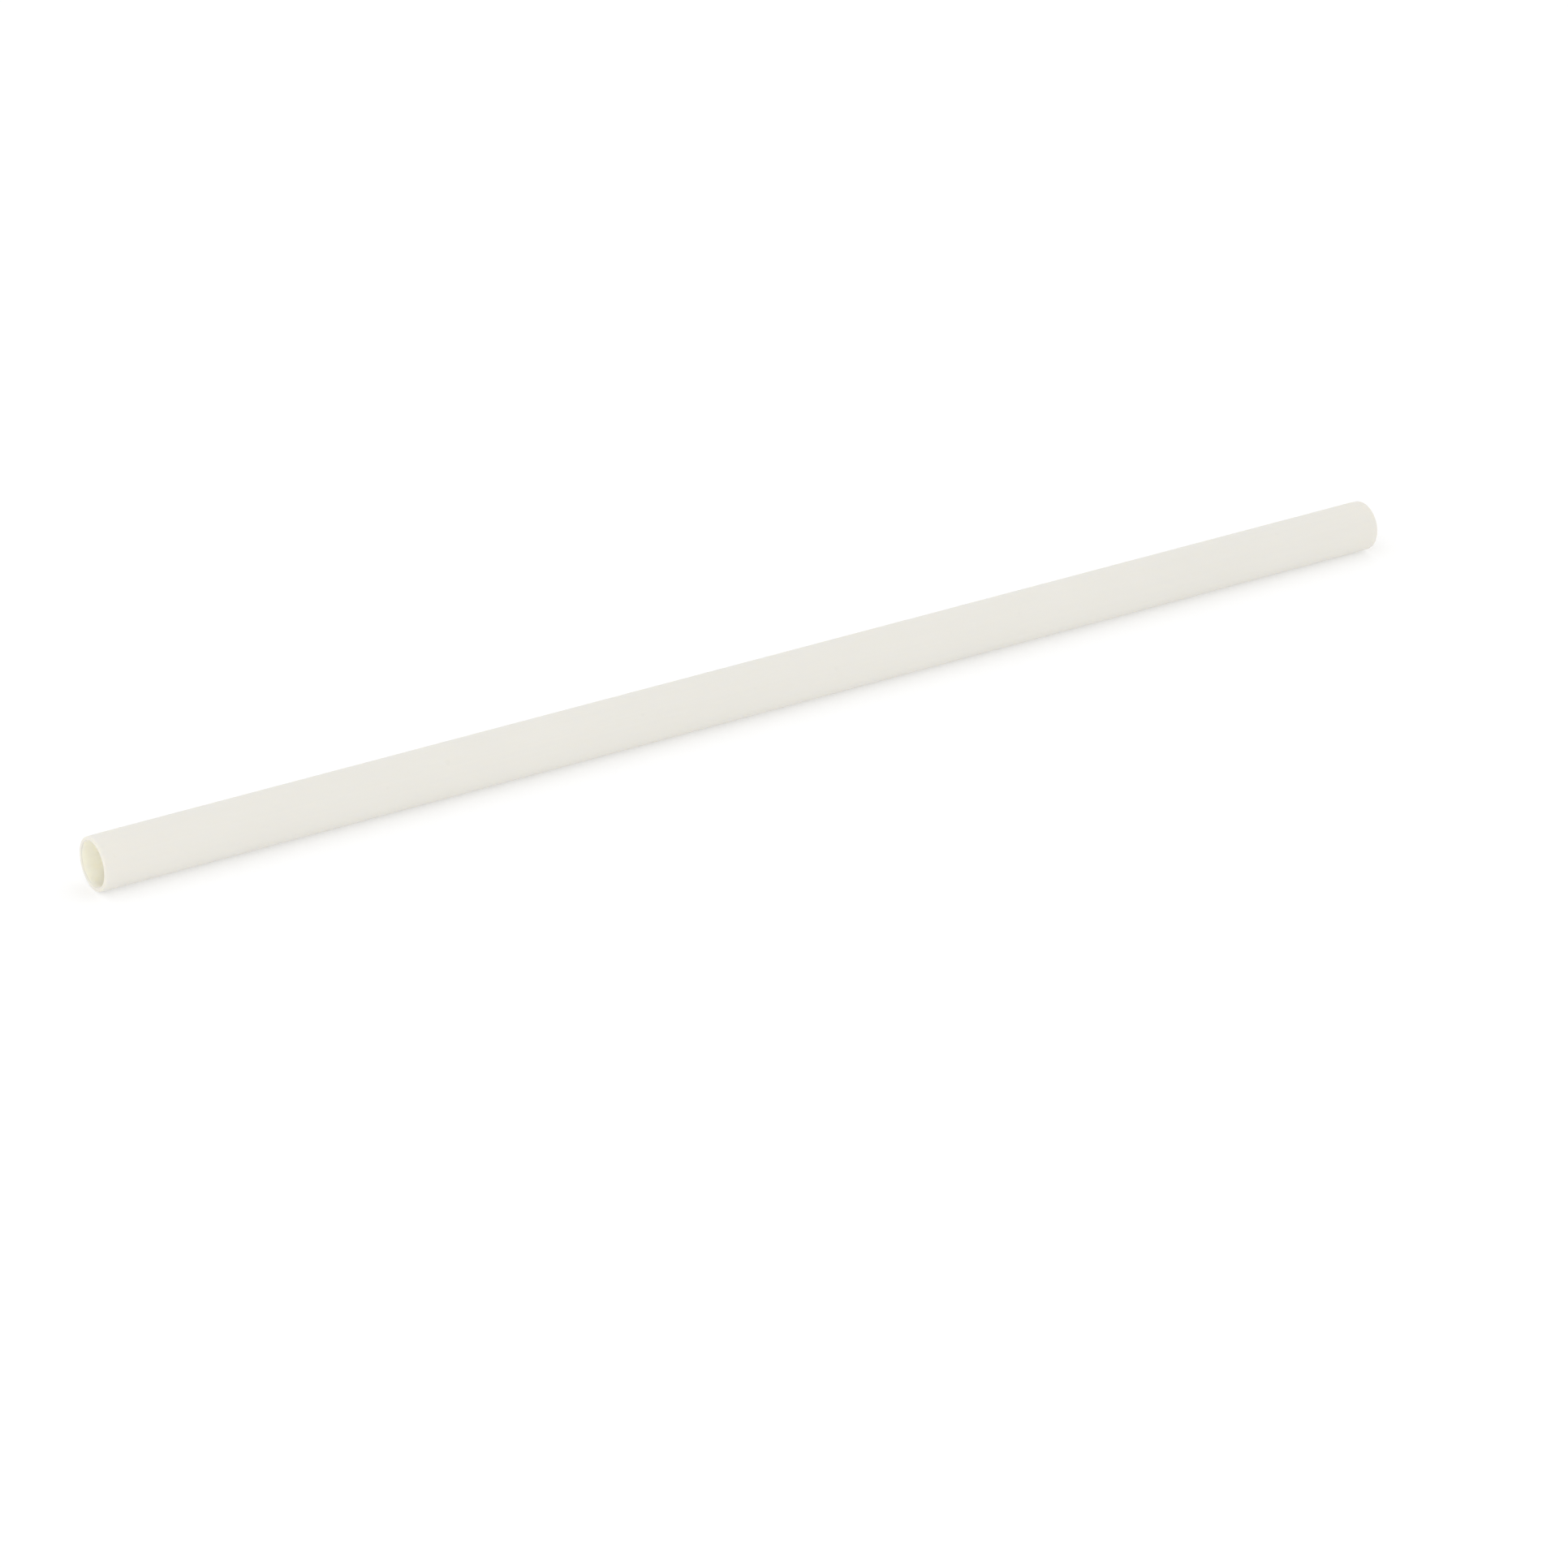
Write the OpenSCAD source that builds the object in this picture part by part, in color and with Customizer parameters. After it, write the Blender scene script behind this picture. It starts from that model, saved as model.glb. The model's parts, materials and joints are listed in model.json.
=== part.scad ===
// Straight drinking straw: one thin-walled tube, open at both ends, lying on its side.
// Millimetres, +Z up. The straw runs along X with its middle over the origin,
// and its lowest line touches Z = 0.

/* [Tube] */
// Length of the straw, from one cut rim to the other
straw_length = 200; // [60:1:400]
// Outside diameter of the tube
outer_diameter = 7; // [4:0.1:14]
// Thickness of the tube's wall
wall = 0.5; // [0.3:0.05:1]

/* [Cut rims] */
// Radius that eases the outer corner of each rim
outer_ease = 0.12; // [0.02:0.01:0.14]
// Radius that eases the inner corner of each rim
inner_ease = 0.12; // [0.02:0.01:0.14]

/* [Hidden] */

outer_radius = outer_diameter / 2;
inner_radius = outer_radius - wall;

straw_color = [0.93, 0.92, 0.88];
round_steps = 96;

// Section through the wall on one side of the straw.
// X is the distance from the straw's axis and Y runs along the straw.
module wall_section() {
    rim_inner = inner_radius + inner_ease;
    rim_outer = outer_radius - outer_ease;

    // flat middle of the wall, which reaches both rims
    translate([rim_inner, -straw_length / 2])
        square([rim_outer - rim_inner, straw_length]);

    // bore side, short of the rims by the inner ease
    translate([inner_radius, inner_ease - straw_length / 2])
        square([rim_outer - inner_radius, straw_length - 2 * inner_ease]);

    // outer side, short of the rims by the outer ease
    translate([rim_inner, outer_ease - straw_length / 2])
        square([outer_radius - rim_inner, straw_length - 2 * outer_ease]);

    // rounded corners of the two rims
    for (end = [-1, 1]) {
        translate([rim_inner, end * (straw_length / 2 - inner_ease)])
            circle(r = inner_ease, $fn = round_steps);
        translate([rim_outer, end * (straw_length / 2 - outer_ease)])
            circle(r = outer_ease, $fn = round_steps);
    }
}

// The whole tube, laid along X on its lowest line
module straw() {
    color(straw_color)
        translate([0, 0, outer_radius])
            rotate([0, 90, 0])
                rotate_extrude($fn = round_steps)
                    wall_section();
}

straw();
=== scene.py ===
import json
from math import radians

import bpy
from bpy.props import FloatProperty, FloatVectorProperty, IntProperty, PointerProperty
from mathutils import Matrix, Vector


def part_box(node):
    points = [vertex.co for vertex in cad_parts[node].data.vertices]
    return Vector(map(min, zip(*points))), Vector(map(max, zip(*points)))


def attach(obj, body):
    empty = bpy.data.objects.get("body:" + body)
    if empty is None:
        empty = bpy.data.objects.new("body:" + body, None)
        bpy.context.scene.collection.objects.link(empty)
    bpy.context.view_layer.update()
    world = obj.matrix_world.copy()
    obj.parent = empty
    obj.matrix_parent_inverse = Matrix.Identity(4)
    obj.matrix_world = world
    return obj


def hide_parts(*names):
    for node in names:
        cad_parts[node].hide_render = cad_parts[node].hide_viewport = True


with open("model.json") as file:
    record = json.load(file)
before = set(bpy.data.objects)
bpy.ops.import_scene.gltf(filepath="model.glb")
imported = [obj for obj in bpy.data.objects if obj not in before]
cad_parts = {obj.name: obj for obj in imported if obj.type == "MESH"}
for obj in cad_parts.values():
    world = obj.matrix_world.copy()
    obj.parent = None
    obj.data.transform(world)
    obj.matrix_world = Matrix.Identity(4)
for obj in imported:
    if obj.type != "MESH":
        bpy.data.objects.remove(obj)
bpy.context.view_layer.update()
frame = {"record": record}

bl_info = {
    "name": "Drinking Straw",
    "version": (1, 0, 0),
    "blender": (4, 5, 0),
    "location": "View3D > Sidebar > Straw",
    "description": "Builds a straight, matte, off-white drinking straw and the plain stage it lies on",
    "category": "Add Mesh",
}

STRAW_NODE = "straw"
BODY = "root"
PIECE_NAME = "drinking_straw"

STRAW_LOW, STRAW_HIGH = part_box(STRAW_NODE)
MOUNTS = {mount["name"]: mount for mount in frame["record"]["mounts"]}
OUTER_RADIUS = MOUNTS["outside"]["dims"]["r_mm"] / 1000
BORE_RADIUS = MOUNTS["bore"]["dims"]["r_mm"] / 1000
LENGTH = STRAW_HIGH.x - STRAW_LOW.x

# Points that round each corner of the wall's section, and how strongly its rings crowd at the rims
EASE_STEPS = 6
RING_CROWDING = 1.5

# The plastic's index of refraction, and how far red, green and blue light reach in it, as shares
PLASTIC_IOR = 1.46
LIGHT_REACH = (1.0, 0.9, 0.65)

# Relief of the extruded surfaces and of the cut rims, in metres
SKIN_RELIEF = 0.000006
CUT_RELIEF = 0.00001

# Noise read at places squeezed along X gives long streaks, and specks are the peaks of a fine noise
STREAK_SQUEEZE = (0.004, 1.0, 1.0)
SPECK_SCALE = 900.0
SPECK_START = 0.80
SPECK_FULL = 0.86


# Sizes, finishes and stage settings

class StrawSizes(bpy.types.PropertyGroup):
    """Sizes of the tube and of the small faults that extruding and cutting leave on it"""

    length: FloatProperty(
        name="Length", description="Length from one cut rim to the other",
        default=LENGTH, min=0.02, max=0.5, unit="LENGTH")
    outer_diameter: FloatProperty(
        name="Outer Diameter", description="Outside diameter of the tube",
        default=2 * OUTER_RADIUS, min=0.002, max=0.02, unit="LENGTH")
    wall: FloatProperty(
        name="Wall", description="Thickness of the tube's wall",
        default=OUTER_RADIUS - BORE_RADIUS, min=0.0002, max=0.002, unit="LENGTH")
    outer_ease: FloatProperty(
        name="Outer Ease", description="Radius that rounds the outer corner of each rim",
        default=0.00012, min=0.00001, max=0.0003, unit="LENGTH")
    inner_ease: FloatProperty(
        name="Inner Ease", description="Radius that rounds the inner corner of each rim",
        default=0.00012, min=0.00001, max=0.0003, unit="LENGTH")
    width_drift: FloatProperty(
        name="Width Drift", description="How far each side wanders in or out along the straw",
        default=0.00003, min=0.0, max=0.0001, unit="LENGTH")
    drift_length: FloatProperty(
        name="Drift Length", description="Distance over which the width wanders",
        default=0.035, min=0.005, max=0.2, unit="LENGTH")
    pinch: FloatProperty(
        name="Pinch", description="How far the cutting blade drew the wall in at the rims",
        default=0.00005, min=0.0, max=0.0002, unit="LENGTH")
    pinch_reach: FloatProperty(
        name="Pinch Reach", description="Distance from the rim over which the wall is drawn in",
        default=0.0016, min=0.0002, max=0.01, unit="LENGTH")
    burr: FloatProperty(
        name="Burr", description="Unevenness that the blade left on the cut rims",
        default=0.00003, min=0.0, max=0.0001, unit="LENGTH")
    burr_length: FloatProperty(
        name="Burr Length", description="Distance between the small rises of the burr",
        default=0.0007, min=0.0001, max=0.005, unit="LENGTH")
    steps_around: IntProperty(
        name="Steps Around", description="Faces around the tube",
        default=160, min=24, max=256)
    rings: IntProperty(
        name="Rings", description="Rings of points along each side of the wall",
        default=110, min=8, max=200)


class StrawFinish(bpy.types.PropertyGroup):
    """Colours and surface of the plastic"""

    outside_colour: FloatVectorProperty(
        name="Outside Colour", description="Off-white of the outer surface",
        subtype="COLOR", size=3, min=0.0, max=1.0, default=(0.765, 0.747, 0.694))
    # Painted light: the bore is the same plastic as the outside, given a warmer and brighter tone that
    # paints the light coming through the wall and bouncing inside the bore
    bore_painted_light_colour: FloatVectorProperty(
        name="Bore Painted Light Colour", description="Warmer tone of the surface inside the bore",
        subtype="COLOR", size=3, min=0.0, max=1.0, default=(0.955, 0.893, 0.74))
    # Painted highlight: the cut rims are the same plastic as the outside, given a slightly paler and warmer
    # tone that paints light catching the cut edges
    rim_painted_highlight_colour: FloatVectorProperty(
        name="Rim Painted Highlight Colour", description="Slightly paler and warmer tone of the cut rims",
        subtype="COLOR", size=3, min=0.0, max=1.0, default=(0.79, 0.76, 0.685))
    roughness: FloatProperty(
        name="Roughness", description="Roughness of the outer surface",
        default=0.58, min=0.0, max=1.0, subtype="FACTOR")
    depth: FloatProperty(
        name="Light Depth", description="How far light travels under the outer surface",
        default=0.0006, min=0.0, max=0.01, unit="LENGTH")
    depth_share: FloatProperty(
        name="Depth Share", description="Share of the light that travels under the outer surface",
        default=0.35, min=0.0, max=1.0, subtype="FACTOR")
    bore_depth: FloatProperty(
        name="Bore Light Depth", description="How far light travels through the wall into the bore",
        default=0.0025, min=0.0, max=0.01, unit="LENGTH")
    bore_depth_share: FloatProperty(
        name="Bore Depth Share", description="Share of the bore's light that comes through the wall",
        default=1.0, min=0.0, max=1.0, subtype="FACTOR")


class StrawStage(bpy.types.PropertyGroup):
    """Floor, light and camera"""

    floor_size: FloatProperty(
        name="Floor Size", description="Side of the square floor",
        default=12.0, min=1.0, max=50.0, unit="LENGTH")
    floor_colour: FloatVectorProperty(
        name="Floor Colour", description="Plain pale tone of the floor",
        subtype="COLOR", size=3, min=0.0, max=1.0, default=(0.62, 0.62, 0.62))
    floor_glow: FloatProperty(
        name="Floor Glow", description="Light that the floor gives of itself, as a lit table does",
        default=0.38, min=0.0, max=5.0)
    sky_strength: FloatProperty(
        name="Sky Strength", description="Strength of the even white light from all around",
        default=1.0, min=0.0, max=5.0)
    key_power: FloatProperty(
        name="Key Power", description="Power of the softbox above and behind the straw",
        default=0.5, min=0.0, max=500.0, unit="POWER")
    key_place: FloatVectorProperty(
        name="Key Place", description="Where the key softbox hangs",
        subtype="TRANSLATION", size=3, default=(-0.35, 0.35, 1.0), unit="LENGTH")
    fill_power: FloatProperty(
        name="Fill Power", description="Power of the softbox on the camera's side",
        default=0.85, min=0.0, max=500.0, unit="POWER")
    fill_place: FloatVectorProperty(
        name="Fill Place", description="Where the fill softbox hangs",
        subtype="TRANSLATION", size=3, default=(-0.5, -0.6, 0.45), unit="LENGTH")
    softbox_size: FloatProperty(
        name="Softbox Size", description="Side of each square softbox",
        default=0.9, min=0.1, max=5.0, unit="LENGTH")
    aim: FloatVectorProperty(
        name="Aim", description="Point of the floor at the middle of the picture",
        subtype="TRANSLATION", size=3, default=(-0.01198, -0.01958, 0.0), unit="LENGTH")
    distance: FloatProperty(
        name="Distance", description="Distance from the camera to the aim",
        default=0.64352, min=0.1, max=5.0, unit="LENGTH")
    azimuth: FloatProperty(
        name="Azimuth", description="Turn of the camera around the straw",
        default=radians(-35.041), subtype="ANGLE")
    elevation: FloatProperty(
        name="Elevation", description="Height angle of the camera above the floor",
        default=radians(26.599), subtype="ANGLE")
    roll: FloatProperty(
        name="Roll", description="Turn of the camera about its own line of sight",
        default=radians(1.779), subtype="ANGLE")
    lens: FloatProperty(
        name="Lens", description="Focal length, in millimetres, on a 36 mm sensor",
        default=116.004, min=10.0, max=300.0, unit="CAMERA")


# Small helpers for node trees

def add(tree, kind, inputs=None, **settings):
    """Add a node, set its properties, and feed its inputs from sockets or plain values."""
    made = tree.nodes.new(kind)
    for name, value in settings.items():
        setattr(made, name, value)
    for key, value in (inputs or {}).items():
        if isinstance(value, bpy.types.NodeSocket):
            tree.links.new(value, made.inputs[key])
        else:
            made.inputs[key].default_value = value
    return made


def maths(tree, operation, *values):
    """One Math node on sockets or numbers; returns its result."""
    return add(tree, "ShaderNodeMath", dict(enumerate(values)), operation=operation).outputs[0]


def halved(tree, value):
    """Half of a value."""
    return maths(tree, "MULTIPLY", value, 0.5)


def negative(tree, value):
    """A value with its sign turned."""
    return maths(tree, "MULTIPLY", value, -1.0)


def centred(tree, noise):
    """Noise of 0 to 1, moved so that it runs from -0.5 to 0.5."""
    return maths(tree, "SUBTRACT", noise, 0.5)


def choose(tree, condition, if_not, if_so):
    """One of two numbers, by a condition that is 0 or 1."""
    return add(tree, "ShaderNodeMix", {0: condition, 2: if_not, 3: if_so}, data_type="FLOAT").outputs[0]


def fine_noise(tree, place, size, detail):
    """Smooth noise of 0 to 1 with patches of the given size; without a place it reads the position."""
    inputs = {"Scale": maths(tree, "DIVIDE", 1.0, size), "Detail": detail}
    if place is not None:
        inputs["Vector"] = place
    return add(tree, "ShaderNodeTexNoise", inputs, noise_dimensions="3D").outputs[0]


def position(tree):
    """Each point's own place."""
    return add(tree, "GeometryNodeInputPosition").outputs[0]


def apart(tree, vector):
    """The X, Y and Z of a vector, by name."""
    return add(tree, "ShaderNodeSeparateXYZ", {0: vector}).outputs


def open_group(tree, inputs, outputs):
    """Give a group its inputs and outputs, as name: socket type, and return the inputs' sockets by name."""
    for in_out, named in (("OUTPUT", outputs), ("INPUT", inputs)):
        for name, kind in named.items():
            tree.interface.new_socket(name, in_out=in_out, socket_type=kind)
    entry = tree.nodes.new("NodeGroupInput")
    return {socket.name: socket for socket in entry.outputs if socket.name}


# The tube's shape

def mid_wall(tree, given):
    """Distance from the straw's axis to the middle of the wall."""
    return halved(tree, maths(tree, "SUBTRACT", given["outer diameter"], given["wall"]))


def wall_section(tree, given):
    """Closed section of the wall: X is across it, outwards, and Y runs along the straw."""
    block = add(tree, "GeometryNodeCurvePrimitiveQuadrilateral",
                {"Width": given["wall"], "Height": given["length"]}, mode="RECTANGLE")
    is_outer = maths(tree, "GREATER_THAN", apart(tree, position(tree))["X"], 0.0)
    ease = choose(tree, is_outer, given["inner ease"], given["outer ease"])
    eased = add(tree, "GeometryNodeFilletCurve",
                {"Curve": block.outputs[0], "Radius": ease, "Count": EASE_STEPS}, mode="POLY")

    index = add(tree, "GeometryNodeInputIndex").outputs[0]
    after = add(tree, "GeometryNodeOffsetPointInCurve", {"Point Index": index, "Offset": 1})
    here = position(tree)
    there = add(tree, "GeometryNodeFieldAtIndex",
                {"Index": after.outputs["Point Index"], "Value": here},
                data_type="FLOAT_VECTOR", domain="POINT").outputs[0]
    stretch = add(tree, "ShaderNodeVectorMath", {0: here, 1: there}, operation="DISTANCE").outputs["Value"]
    is_long = maths(tree, "GREATER_THAN", stretch, halved(tree, given["length"]))
    cuts = maths(tree, "MULTIPLY", is_long, given["rings"])
    return add(tree, "GeometryNodeSubdivideCurve", {"Curve": eased.outputs[0], "Cuts": cuts})


def crowd_rings(tree, section, given):
    """Move the section's rings towards the two rims, where the shape has its detail."""
    point = apart(tree, position(tree))
    straight = maths(tree, "SUBTRACT", halved(tree, given["length"]), given["outer ease"])
    reach = maths(tree, "ABSOLUTE", point["Y"])
    share = maths(tree, "MINIMUM", maths(tree, "DIVIDE", reach, straight), 1.0)
    left = maths(tree, "POWER", maths(tree, "SUBTRACT", 1.0, share), RING_CROWDING)
    moved = maths(tree, "MULTIPLY", maths(tree, "SUBTRACT", 1.0, left), straight)
    past = maths(tree, "MAXIMUM", maths(tree, "SUBTRACT", reach, straight), 0.0)
    signed = maths(tree, "MULTIPLY", maths(tree, "SIGN", point["Y"]), maths(tree, "ADD", moved, past))
    place = add(tree, "ShaderNodeCombineXYZ", {"X": point["X"], "Y": signed}).outputs[0]
    return add(tree, "GeometryNodeSetPosition", {"Geometry": section.outputs[0], "Position": place})


def swept_tube(tree, section, given):
    """Sweep the section around a circle, which gives the tube, and lay it along X on the floor."""
    ring = add(tree, "GeometryNodeCurvePrimitiveCircle",
               {"Resolution": given["steps around"], "Radius": mid_wall(tree, given)}, mode="RADIUS")
    tube = add(tree, "GeometryNodeCurveToMesh",
               {"Curve": ring.outputs[0], "Profile Curve": section.outputs[0], "Fill Caps": False})
    lift = add(tree, "ShaderNodeCombineXYZ", {"Z": halved(tree, given["outer diameter"])}).outputs[0]
    return add(tree, "GeometryNodeTransform",
               {"Geometry": tube.outputs[0], "Translation": lift, "Rotation": (0.0, radians(90), 0.0)})


def polar(tree, given):
    """Fields of a point on the lying tube: along it, sideways, up from the axis, and out from it."""
    point = apart(tree, position(tree))
    side = point["Y"]
    up = maths(tree, "SUBTRACT", point["Z"], halved(tree, given["outer diameter"]))
    squares = [maths(tree, "MULTIPLY", v, v) for v in (side, up)]
    out = maths(tree, "SQRT", maths(tree, "ADD", *squares))
    return {"along": point["X"], "side": side, "up": up, "out": out}


def drifted(tree, tube, given):
    """Let the two sides wander a little in or out along the straw; its top and bottom stay."""
    at = polar(tree, given)
    line = add(tree, "ShaderNodeCombineXYZ", {"X": at["along"]}).outputs[0]
    wander = centred(tree, fine_noise(tree, line, given["drift length"], 1.0))
    both_ways = maths(tree, "MULTIPLY", wander, 2.0)
    sideways = maths(tree, "DIVIDE", at["side"], at["out"])
    shift = maths(tree, "MULTIPLY", maths(tree, "MULTIPLY", both_ways, sideways), given["width drift"])
    offset = add(tree, "ShaderNodeCombineXYZ", {"Y": shift}).outputs[0]
    return add(tree, "GeometryNodeSetPosition", {"Geometry": tube.outputs[0], "Offset": offset})


def cut_ends(tree, tube, given):
    """Draw the wall in towards each rim, and roughen the rim as the blade left it."""
    at = polar(tree, given)
    from_rim = maths(tree, "SUBTRACT", halved(tree, given["length"]), maths(tree, "ABSOLUTE", at["along"]))
    away = maths(tree, "MINIMUM", maths(tree, "DIVIDE", from_rim, given["pinch reach"]), 1.0)
    near = maths(tree, "MAXIMUM", maths(tree, "SUBTRACT", 1.0, away), 0.0)
    draw = maths(tree, "MULTIPLY", maths(tree, "POWER", near, 2.0), given["pinch"])

    noise = centred(tree, fine_noise(tree, None, given["burr length"], 2.0))
    both_ways = maths(tree, "MULTIPLY", noise, 2.0)
    at_rim = maths(tree, "LESS_THAN", from_rim, maths(tree, "MULTIPLY", given["outer ease"], 2.0))
    rough = maths(tree, "MULTIPLY", maths(tree, "MULTIPLY", both_ways, at_rim), given["burr"])
    outward = maths(tree, "MULTIPLY", maths(tree, "SIGN", at["along"]), maths(tree, "ABSOLUTE", rough))

    scale = maths(tree, "DIVIDE", negative(tree, draw), at["out"])
    offset = add(tree, "ShaderNodeCombineXYZ", {
        "X": negative(tree, outward),
        "Y": maths(tree, "MULTIPLY", at["side"], scale),
        "Z": maths(tree, "MULTIPLY", at["up"], scale),
    }).outputs[0]
    return add(tree, "GeometryNodeSetPosition", {"Geometry": tube.outputs[0], "Offset": offset})


def finished(tree, tube, given):
    """Smooth faces, plain geometry, and one material each for the outside, the bore and the rims."""
    at = polar(tree, given)
    is_bore = maths(tree, "LESS_THAN", at["out"], mid_wall(tree, given))
    rim_start = maths(tree, "SUBTRACT", halved(tree, given["length"]), given["outer ease"])
    is_rim = maths(tree, "GREATER_THAN", maths(tree, "ABSOLUTE", at["along"]), rim_start)
    smooth = add(tree, "GeometryNodeSetShadeSmooth", {"Geometry": tube.outputs[0], "Shade Smooth": True})
    real = add(tree, "GeometryNodeRealizeInstances", {"Geometry": smooth.outputs[0]})
    result = add(tree, "GeometryNodeSetMaterial",
                 {"Geometry": real.outputs[0], "Material": given["outside material"]})
    result = add(tree, "GeometryNodeSetMaterial",
                 {"Geometry": result.outputs[0], "Selection": is_bore, "Material": given["bore material"]})
    return add(tree, "GeometryNodeSetMaterial",
               {"Geometry": result.outputs[0], "Selection": is_rim, "Material": given["rim material"]})


def tube_tree(settings):
    """Geometry tree of the whole straw, with its sizes and materials as named inputs."""
    kinds = {int: "NodeSocketInt", float: "NodeSocketFloat", bpy.types.Material: "NodeSocketMaterial"}
    tree = bpy.data.node_groups.new("Straw Tube", "GeometryNodeTree")
    given = open_group(tree, {name: kinds[type(value)] for name, value in settings.items()},
                       {"Geometry": "NodeSocketGeometry"})
    section = crowd_rings(tree, wall_section(tree, given), given)
    tube = swept_tube(tree, section, given)
    tube = cut_ends(tree, drifted(tree, tube, given), given)
    add(tree, "NodeGroupOutput", {"Geometry": finished(tree, tube, given).outputs[0]})
    return tree


# Surfaces

def extruded_skin():
    """Shader group shared by all surfaces: faint clouds, streaks along the straw and small specks."""
    group = bpy.data.node_groups.new("Extruded Skin", "ShaderNodeTree")
    number, colour = "NodeSocketFloat", "NodeSocketColor"
    given = open_group(
        group,
        {"Colour": colour, "Cloud Size": number, "Cloud Amount": number,
         "Streak Width": number, "Streak Amount": number, "Speck Amount": number,
         "Roughness": number, "Roughness Spread": number},
        {"Colour": colour, "Roughness": number, "Height": number})
    place = add(group, "ShaderNodeTexCoord").outputs["Object"]

    clouds = fine_noise(group, place, given["Cloud Size"], 3.0)
    squeezed = add(group, "ShaderNodeVectorMath",
                   {0: place, 1: STREAK_SQUEEZE}, operation="MULTIPLY").outputs[0]
    streaks = fine_noise(group, squeezed, given["Streak Width"], 2.0)
    dots = add(group, "ShaderNodeTexNoise",
               {"Vector": place, "Scale": SPECK_SCALE, "Detail": 0.0}).outputs[0]
    specks = add(group, "ShaderNodeMapRange", {
        "Value": dots, "From Min": SPECK_START, "From Max": SPECK_FULL, "To Min": 0.0, "To Max": 1.0,
    }).outputs[0]

    cloudy = maths(group, "MULTIPLY", centred(group, clouds), given["Cloud Amount"])
    streaky = maths(group, "MULTIPLY", centred(group, streaks), given["Streak Amount"])
    spotty = maths(group, "MULTIPLY", specks, negative(group, given["Speck Amount"]))
    tone = maths(group, "ADD", 1.0, maths(group, "ADD", maths(group, "ADD", cloudy, streaky), spotty))
    tinted = add(group, "ShaderNodeVectorMath",
                 {0: given["Colour"], "Scale": tone}, operation="SCALE").outputs[0]

    spread = maths(group, "MULTIPLY", centred(group, streaks), given["Roughness Spread"])
    rough = maths(group, "ADD", given["Roughness"], spread)
    height = maths(group, "ADD", streaks, negative(group, specks))
    add(group, "NodeGroupOutput", {"Colour": tinted, "Roughness": rough, "Height": height})
    return group


def plastic(name, skin, colour, values, depth, depth_share, relief_height):
    """Slightly translucent matte plastic, with its pattern from the shared skin group."""
    material = bpy.data.materials.new(name)
    material.use_nodes = True
    tree = material.node_tree
    tree.nodes.clear()
    pattern = add(tree, "ShaderNodeGroup", node_tree=skin)
    pattern.inputs["Colour"].default_value = (*colour, 1.0)
    for key, value in values.items():
        pattern.inputs[key].default_value = value
    relief = add(tree, "ShaderNodeBump", {
        "Strength": 1.0, "Distance": relief_height, "Height": pattern.outputs["Height"]})
    shader = add(tree, "ShaderNodeBsdfPrincipled", {
        "Base Color": pattern.outputs["Colour"],
        "Roughness": pattern.outputs["Roughness"],
        "Normal": relief.outputs[0],
        "IOR": PLASTIC_IOR,
        "Subsurface Weight": depth_share,
        "Subsurface Scale": depth,
        "Subsurface Radius": LIGHT_REACH,
    })
    add(tree, "ShaderNodeOutputMaterial", {"Surface": shader.outputs[0]})
    material.diffuse_color = (*colour, 1.0)
    return material


def straw_materials(finish):
    """Materials of the outside, the bore and the cut rims, by the names of the tree's inputs."""
    skin = extruded_skin()
    outside = plastic("matte off-white wall", skin, finish.outside_colour, {
        "Cloud Size": 0.014, "Cloud Amount": 0.035, "Streak Width": 0.00035, "Streak Amount": 0.02,
        "Speck Amount": 0.02, "Roughness": finish.roughness, "Roughness Spread": 0.08},
        finish.depth, finish.depth_share, SKIN_RELIEF)
    # The bore's colour is painted light: a warmer, brighter tone for light coming through the wall and
    # bouncing inside; its translucency is rendered for real
    bore = plastic("bore with painted warm light", skin, finish.bore_painted_light_colour, {
        "Cloud Size": 0.009, "Cloud Amount": 0.05, "Streak Width": 0.0003, "Streak Amount": 0.03,
        "Speck Amount": 0.05, "Roughness": 0.62, "Roughness Spread": 0.06},
        finish.bore_depth, finish.bore_depth_share, SKIN_RELIEF)
    # The rims' colour is a painted highlight: a paler, warmer copy of the wall's tone for light catching
    # the cut edges; their relief and roughness are real
    rim = plastic("cut rim", skin, finish.rim_painted_highlight_colour, {
        "Cloud Size": 0.0012, "Cloud Amount": 0.10, "Streak Width": 0.0001, "Streak Amount": 0.05,
        "Speck Amount": 0.0, "Roughness": 0.75, "Roughness Spread": 0.10},
        finish.depth, finish.depth_share, CUT_RELIEF)
    return {"outside material": outside, "bore material": bore, "rim material": rim}


# The piece

def set_input(modifier, tree, name, value):
    """Set a Geometry Nodes input by its socket's identifier."""
    item = next(i for i in tree.interface.items_tree if i.name == name and i.in_out == "INPUT")
    modifier[item.identifier] = value


def straw_piece(sizes, finish):
    """Evaluate the tree on an empty mesh and keep the result as a plain mesh."""
    settings = {name.replace("_", " "): getattr(sizes, name) for name in sizes.__annotations__}
    settings.update(straw_materials(finish))
    tree = tube_tree(settings)
    holder = bpy.data.objects.new("straw tree holder", bpy.data.meshes.new("straw tree holder"))
    bpy.context.scene.collection.objects.link(holder)
    modifier = holder.modifiers.new("Straw Tube", "NODES")
    modifier.node_group = tree
    for name, value in settings.items():
        set_input(modifier, tree, name, value)

    depsgraph = bpy.context.evaluated_depsgraph_get()
    mesh = bpy.data.meshes.new_from_object(holder.evaluated_get(depsgraph), depsgraph=depsgraph)
    bpy.data.objects.remove(holder)
    mesh.name = PIECE_NAME
    piece = bpy.data.objects.new(PIECE_NAME, mesh)
    bpy.context.scene.collection.objects.link(piece)
    return piece


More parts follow.
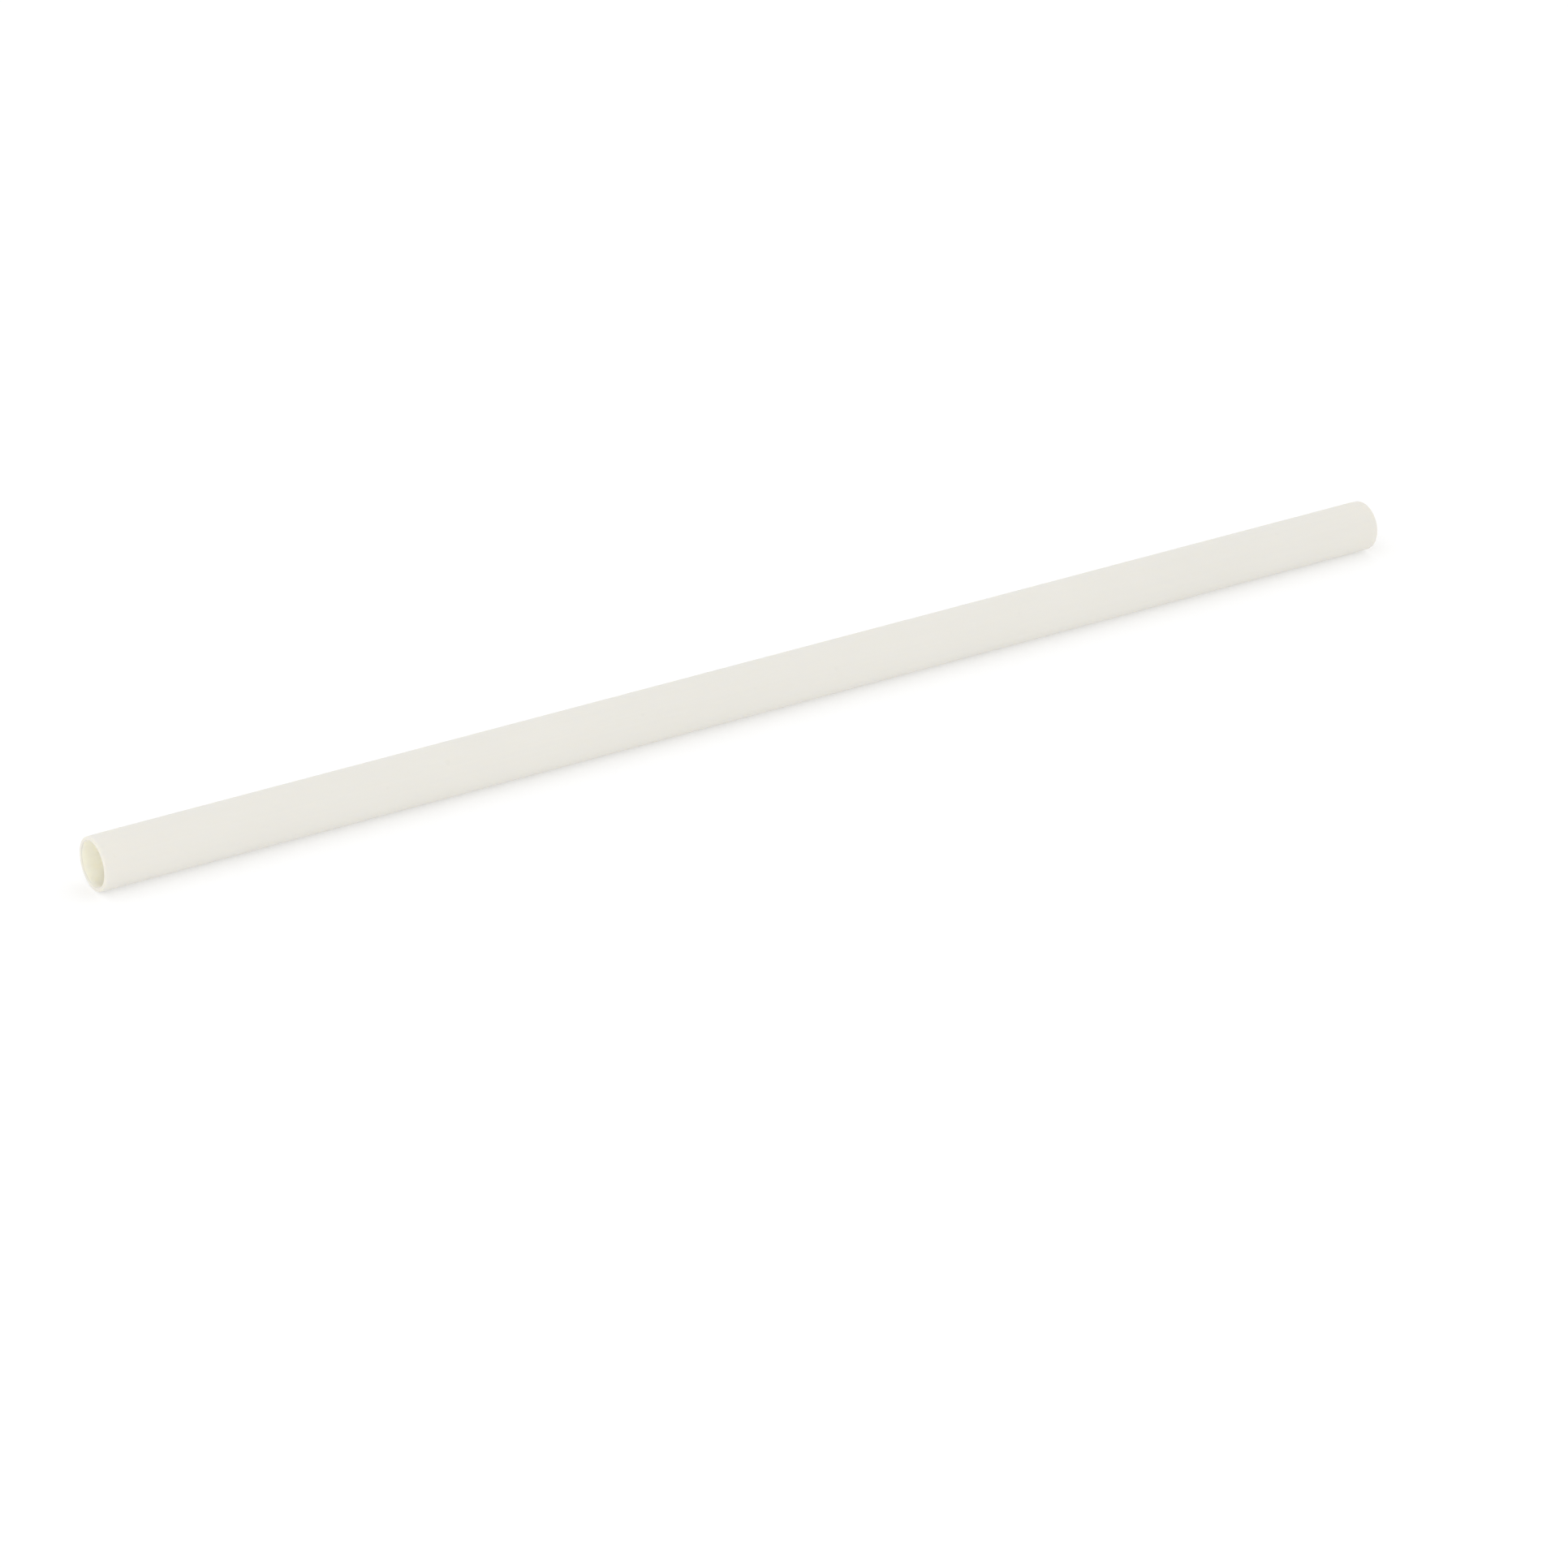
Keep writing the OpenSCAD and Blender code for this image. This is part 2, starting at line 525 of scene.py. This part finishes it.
class STRAW_OT_make_straw(bpy.types.Operator):
    """Make the straw as a plain mesh with its finish, in place of the plain CAD tube"""

    bl_idname = "straw.make_straw"
    bl_label = "Make Straw"

    def execute(self, context):
        scene = context.scene
        piece = straw_piece(scene.straw_sizes, scene.straw_finish)
        if not piece.data.polygons:
            raise RuntimeError("the straw's tree gave no faces")
        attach(piece, BODY)
        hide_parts(STRAW_NODE)
        return {"FINISHED"}


# The stage

def plain_floor(stage):
    """Plain pale floor, level with the straw's lowest line."""
    half = stage.floor_size / 2
    mesh = bpy.data.meshes.new("floor")
    corners = [(-half, -half, 0.0), (half, -half, 0.0), (half, half, 0.0), (-half, half, 0.0)]
    mesh.from_pydata(corners, [], [(0, 1, 2, 3)])
    floor = bpy.data.objects.new("floor", mesh)
    bpy.context.scene.collection.objects.link(floor)
    material = bpy.data.materials.new("plain floor")
    material.use_nodes = True
    shader = material.node_tree.nodes["Principled BSDF"]
    shader.inputs["Base Color"].default_value = (*stage.floor_colour, 1.0)
    shader.inputs["Roughness"].default_value = 1.0
    shader.inputs["Specular IOR Level"].default_value = 0.0
    shader.inputs["Emission Color"].default_value = (1.0, 1.0, 1.0, 1.0)
    shader.inputs["Emission Strength"].default_value = stage.floor_glow
    mesh.materials.append(material)


def soft_light(stage):
    """Even white light from all around, and two weak softboxes: one behind and one in front."""
    world = bpy.data.worlds.new("even studio light")
    world.use_nodes = True
    sky = world.node_tree.nodes["Background"]
    sky.inputs["Color"].default_value = (1.0, 1.0, 1.0, 1.0)
    sky.inputs["Strength"].default_value = stage.sky_strength
    bpy.context.scene.world = world

    for name, power, place in (("key softbox", stage.key_power, stage.key_place),
                               ("fill softbox", stage.fill_power, stage.fill_place)):
        lamp = bpy.data.lights.new(name, "AREA")
        lamp.energy = power
        lamp.size = stage.softbox_size
        softbox = bpy.data.objects.new(name, lamp)
        softbox.location = place
        softbox.rotation_euler = (-Vector(place)).to_track_quat("-Z", "Y").to_euler()
        bpy.context.scene.collection.objects.link(softbox)


def photo_camera(stage):
    """Camera at the photograph's viewing angle."""
    lens = bpy.data.cameras.new("camera")
    lens.lens = stage.lens
    lens.sensor_width = 36.0
    lens.clip_start = 0.01
    lens.clip_end = 100.0
    camera = bpy.data.objects.new("camera", lens)
    turn = (Matrix.Rotation(stage.azimuth, 4, "Z")
            @ Matrix.Rotation(radians(90) - stage.elevation, 4, "X")
            @ Matrix.Rotation(stage.roll, 4, "Z"))
    back = turn.to_3x3() @ Vector((0.0, 0.0, 1.0))
    camera.matrix_world = Matrix.Translation(Vector(stage.aim) + back * stage.distance) @ turn
    bpy.context.scene.collection.objects.link(camera)
    bpy.context.scene.camera = camera


class STRAW_OT_set_stage(bpy.types.Operator):
    """Lay the floor, light it, and place the camera"""

    bl_idname = "straw.set_stage"
    bl_label = "Set Stage"

    def execute(self, context):
        stage = context.scene.straw_stage
        plain_floor(stage)
        soft_light(stage)
        photo_camera(stage)
        context.scene.view_settings.view_transform = "Standard"
        return {"FINISHED"}


class VIEW3D_PT_straw(bpy.types.Panel):
    """Lists the settings and the steps that build the straw"""

    bl_label = "Drinking Straw"
    bl_idname = "VIEW3D_PT_straw"
    bl_space_type = "VIEW_3D"
    bl_region_type = "UI"
    bl_category = "Straw"

    def draw(self, context):
        scene = context.scene
        for group, operator in (
            ((scene.straw_sizes, scene.straw_finish), STRAW_OT_make_straw),
            ((scene.straw_stage,), STRAW_OT_set_stage),
        ):
            column = self.layout.box().column()
            for settings in group:
                for name in settings.__annotations__:
                    column.prop(settings, name)
            column.operator(operator.bl_idname)


CLASSES = (StrawSizes, StrawFinish, StrawStage, STRAW_OT_make_straw, STRAW_OT_set_stage, VIEW3D_PT_straw)


def register():
    for cls in CLASSES:
        bpy.utils.register_class(cls)
    bpy.types.Scene.straw_sizes = PointerProperty(type=StrawSizes)
    bpy.types.Scene.straw_finish = PointerProperty(type=StrawFinish)
    bpy.types.Scene.straw_stage = PointerProperty(type=StrawStage)


def unregister():
    del bpy.types.Scene.straw_stage
    del bpy.types.Scene.straw_finish
    del bpy.types.Scene.straw_sizes
    for cls in reversed(CLASSES):
        bpy.utils.unregister_class(cls)


def main():
    register()
    bpy.ops.straw.make_straw()
    bpy.ops.straw.set_stage()


if __name__ == "__main__":
    main()
